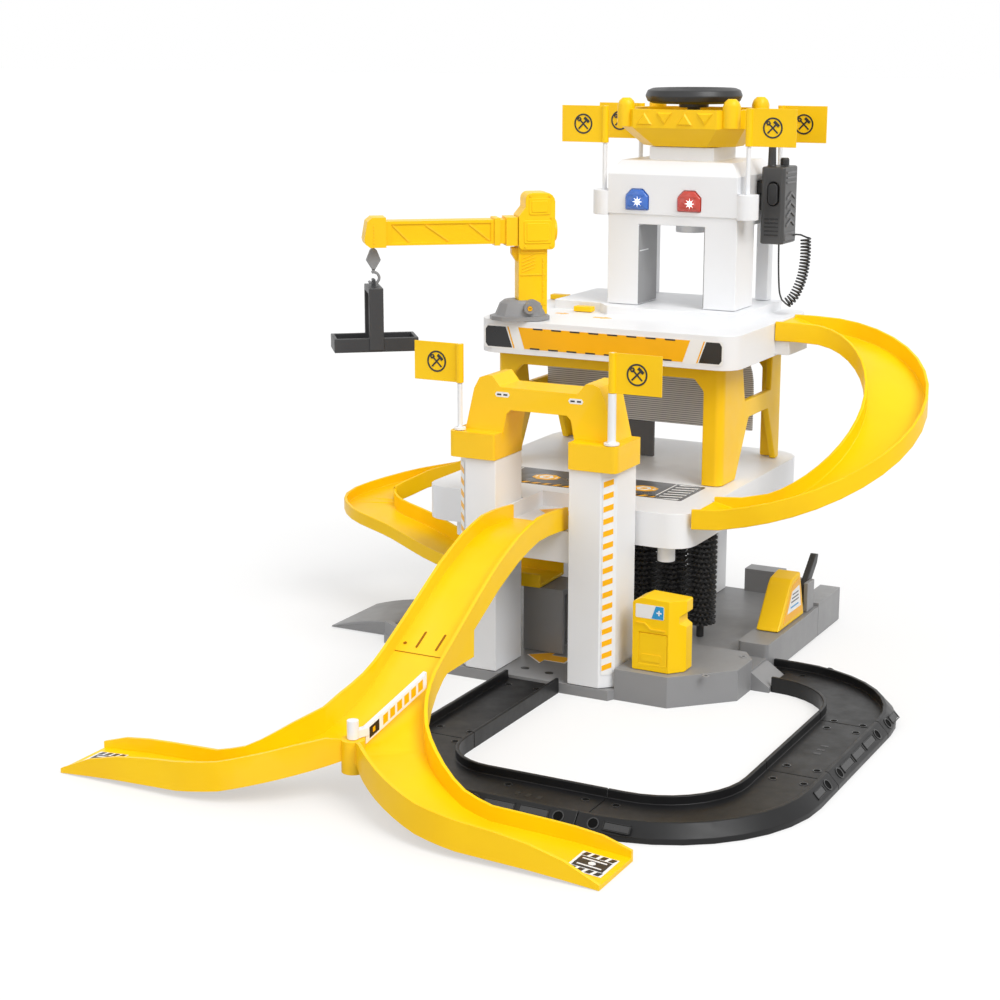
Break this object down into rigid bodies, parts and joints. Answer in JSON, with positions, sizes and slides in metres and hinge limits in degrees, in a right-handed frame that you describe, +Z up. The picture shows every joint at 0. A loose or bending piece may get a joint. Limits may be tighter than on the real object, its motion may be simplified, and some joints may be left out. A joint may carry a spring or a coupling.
{
  "type": "toy parking garage",
  "caption": "Toy parking garage with two decks, arched gate, forked and curved ramps, road track, crane with cradle, tower with steering wheel, handset, car wash and fuel corner.",
  "frame": {"origin": "on the floor under the base, on the gate's centre line", "axes": "+X to the right along the gate's front, +Y to the back, +Z up"},
  "size_m": [0.3969, 0.456, 0.3306],
  "materials": {
    "yellow_plastic": "satin yellow moulding",
    "white_plastic": "satin white moulding",
    "grey_plastic": "fine matt grey moulding",
    "black_plastic": "satin black moulding",
    "blue_lens": "clear blue lens",
    "red_lens": "clear red lens",
    "black_rubber": "soft black"
  },
  "bodies": {
    "garage": {"base": "grey_plastic", "column_left": "white_plastic", "column_right": "white_plastic", "pier_left": "white_plastic", "pier_right": "white_plastic", "lower_deck": "white_plastic", "gate_arch": "yellow_plastic", "building_frame": "yellow_plastic", "door_panel": "white_plastic", "back_plate": "grey_plastic", "upper_deck": "white_plastic", "tower": "white_plastic", "tower_crown": "yellow_plastic", "lens_blue": "blue_lens", "lens_red": "red_lens", "ramp_right": "yellow_plastic", "ramp_left": "yellow_plastic", "ramp_stand": "grey_plastic", "ramp_front": "yellow_plastic", "track_entry": "black_plastic", "track_corner_left": "black_plastic", "track_corner_right": "black_plastic", "track_side": "black_plastic", "track_corner_rear": "black_plastic", "exit_ramp": "grey_plastic", "fuel_pump": "yellow_plastic", "nozzle_holder": "grey_plastic", "clip_front": "yellow_plastic", "clip_left": "yellow_plastic", "pole_gate_left": "white_plastic", "pole_gate_right": "white_plastic", "pole_tower_front_left": "white_plastic", "pole_tower_back_left": "white_plastic", "pole_tower_front_right": "white_plastic", "pole_tower_back_right": "white_plastic", "flag_gate_left": "yellow_plastic", "flag_gate_right": "yellow_plastic", "flag_tower_front_left": "yellow_plastic", "flag_tower_back_left": "yellow_plastic", "flag_tower_front_right": "yellow_plastic", "flag_tower_back_right": "yellow_plastic"},
    "crane": {"crane_turret": "grey_plastic", "crane_mast": "yellow_plastic", "crane_boom": "yellow_plastic"},
    "hook": {"hook_block": "grey_plastic"},
    "cradle": {"cradle": "black_plastic"},
    "steering_wheel": {"steering_wheel": "black_plastic"},
    "diverter": {"diverter_arm": "white_plastic"},
    "brush_a": {"wash_brush_a": "black_rubber"},
    "brush_b": {"wash_brush_b": "black_rubber"},
    "brush_c": {"wash_brush_c": "black_rubber"},
    "handset": {"handset": "black_plastic", "handset_cord": "black_rubber"},
    "talk_button": {"talk_button": "black_plastic"},
    "volume_knob": {"volume_knob": "black_plastic"},
    "fuel_nozzle": {"fuel_nozzle": "black_plastic"},
    "fuel_can": {"fuel_can": "yellow_plastic"}
  },
  "joints": [
    {"name": "crane_slew", "type": "hinge", "parent": "garage", "child": "crane", "pos_m": [-0.0588, 0.0384, 0.195], "axis": [0, 0, 1], "range_deg": [-88, 12]},
    {"name": "hook_swing", "type": "hinge", "parent": "crane", "child": "hook", "pos_m": [-0.12799, -0.01565, 0.2402], "axis": [0.6157, -0.788, 0], "range_deg": [-20, 20]},
    {"name": "cradle_swing", "type": "hinge", "parent": "hook", "child": "cradle", "pos_m": [-0.12799, -0.01565, 0.2192], "axis": [0.6157, -0.788, 0], "range_deg": [-12, 12]},
    {"name": "wheel_turn", "type": "hinge", "parent": "garage", "child": "steering_wheel", "pos_m": [0.0172, 0.122, 0.326], "axis": [0, 0, 1], "continuous": true},
    {"name": "diverter_turn", "type": "hinge", "parent": "garage", "child": "diverter", "pos_m": [0, -0.249, 0.0315], "axis": [0, 0, 1], "range_deg": [0, 42]},
    {"name": "brush_a_spin", "type": "hinge", "parent": "garage", "child": "brush_a", "pos_m": [0.024, 0.041, 0.02], "axis": [0, 0, 1], "continuous": true},
    {"name": "brush_b_spin", "type": "hinge", "parent": "garage", "child": "brush_b", "pos_m": [0.043, 0.041, 0.02], "axis": [0, 0, 1], "continuous": true},
    {"name": "brush_c_spin", "type": "hinge", "parent": "garage", "child": "brush_c", "pos_m": [0.062, 0.041, 0.02], "axis": [0, 0, 1], "continuous": true},
    {"name": "handset_off", "type": "slide", "parent": "garage", "child": "handset", "axis": [1, 0, 0], "range_m": [0, 0.12]},
    {"name": "talk_press", "type": "slide", "parent": "handset", "child": "talk_button", "axis": [0, 1, 0], "range_m": [0, 0.001], "stiffness_N_per_m": 150},
    {"name": "volume_turn", "type": "hinge", "parent": "handset", "child": "volume_knob", "pos_m": [0.074, 0.129, 0.285], "axis": [0, 0, 1], "range_deg": [0, 270]},
    {"name": "nozzle_lift", "type": "slide", "parent": "garage", "child": "fuel_nozzle", "axis": [0, 0, 1], "range_m": [0, 0.08]},
    {"name": "fuel_can_lift", "type": "slide", "parent": "garage", "child": "fuel_can", "axis": [0, 0, 1], "range_m": [0, 0.1]}
  ]
}
